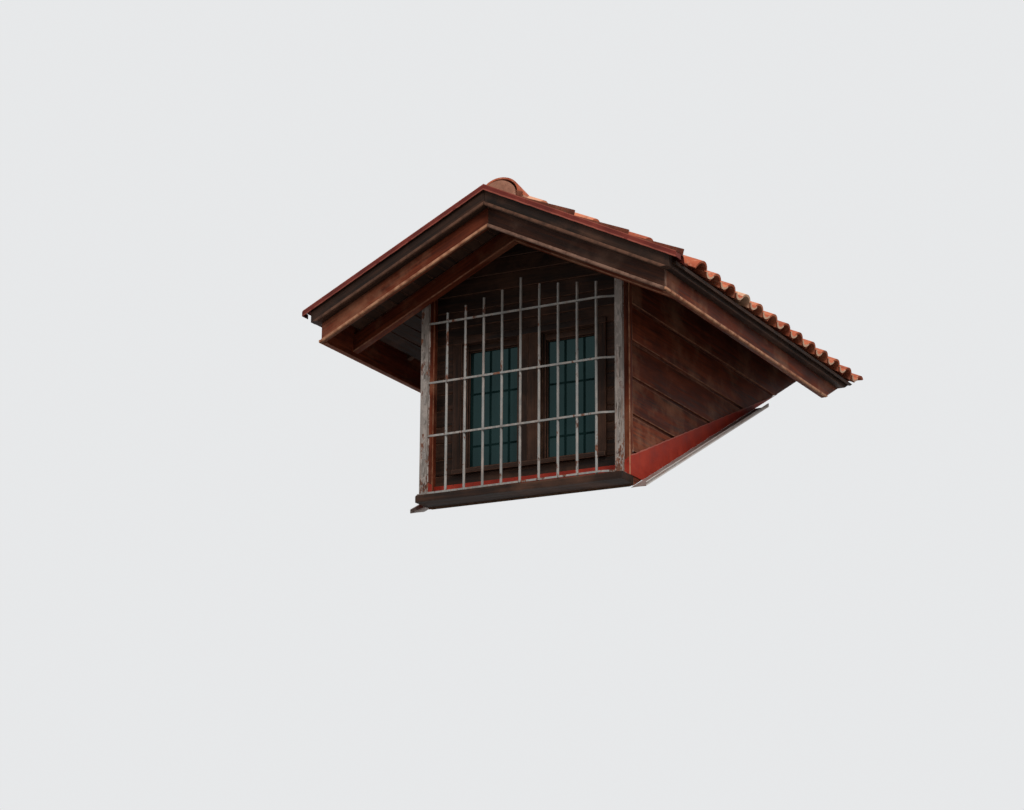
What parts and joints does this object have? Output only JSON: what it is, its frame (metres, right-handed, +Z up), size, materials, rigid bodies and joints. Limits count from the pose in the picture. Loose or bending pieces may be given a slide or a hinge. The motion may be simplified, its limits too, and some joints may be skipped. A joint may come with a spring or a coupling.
{
  "type": "dormer window",
  "caption": "Gabled timber dormer with a barrel-tiled roof, deep boarded eaves, narrow windows behind a barred security grille, and boarded cheek walls.",
  "frame": {"origin": "middle of the front wall's foot, on the sloping underside of the sole plate where it bears on the main roof", "axes": "+X to the right seen from the front, +Y back into the main roof along the dormer's ridge, +Z up"},
  "size_m": [2.577, 4.5009, 1.9589],
  "materials": {
    "timber": "weathered dark red-brown varnish",
    "dark_timber": "shaded dark brown varnish",
    "raw_timber": "sawn, unfinished",
    "glass": "clear single glazing",
    "clay": "unglazed terracotta",
    "red_metal": "faded red paint on sheet metal",
    "zinc": "dull galvanised sheet",
    "iron": "off-white paint, flaking, rust spots"
  },
  "bodies": {
    "root": {"sole_plates": "raw_timber", "valley_boards": "raw_timber", "front_wall": "raw_timber", "front_cladding": "timber", "left_cheek": "raw_timber", "right_cheek": "raw_timber", "left_cladding": "timber", "right_cladding": "timber", "left_corner_board": "timber", "right_corner_board": "timber", "left_window": "dark_timber", "right_window": "dark_timber", "left_pane": "glass", "right_pane": "glass", "window_surround": "dark_timber", "sill_beam": "dark_timber", "front_flashing": "red_metal", "left_grille_post": "iron", "right_grille_post": "iron", "grille": "iron", "left_beam": "timber", "right_beam": "timber", "rafters": "raw_timber", "ridge_board": "raw_timber", "left_deck": "raw_timber", "right_deck": "raw_timber", "left_soffit": "timber", "right_soffit": "timber", "left_lower_barge": "timber", "right_lower_barge": "timber", "left_upper_barge": "timber", "right_upper_barge": "timber", "left_fascia": "timber", "right_fascia": "timber", "left_verge_strip": "red_metal", "right_verge_strip": "red_metal", "left_tiles": "clay", "right_tiles": "clay", "ridge_tiles": "clay", "left_side_flashing": "red_metal", "right_side_flashing": "red_metal", "left_gutter": "zinc", "right_gutter": "zinc"}
  },
  "joints": []
}
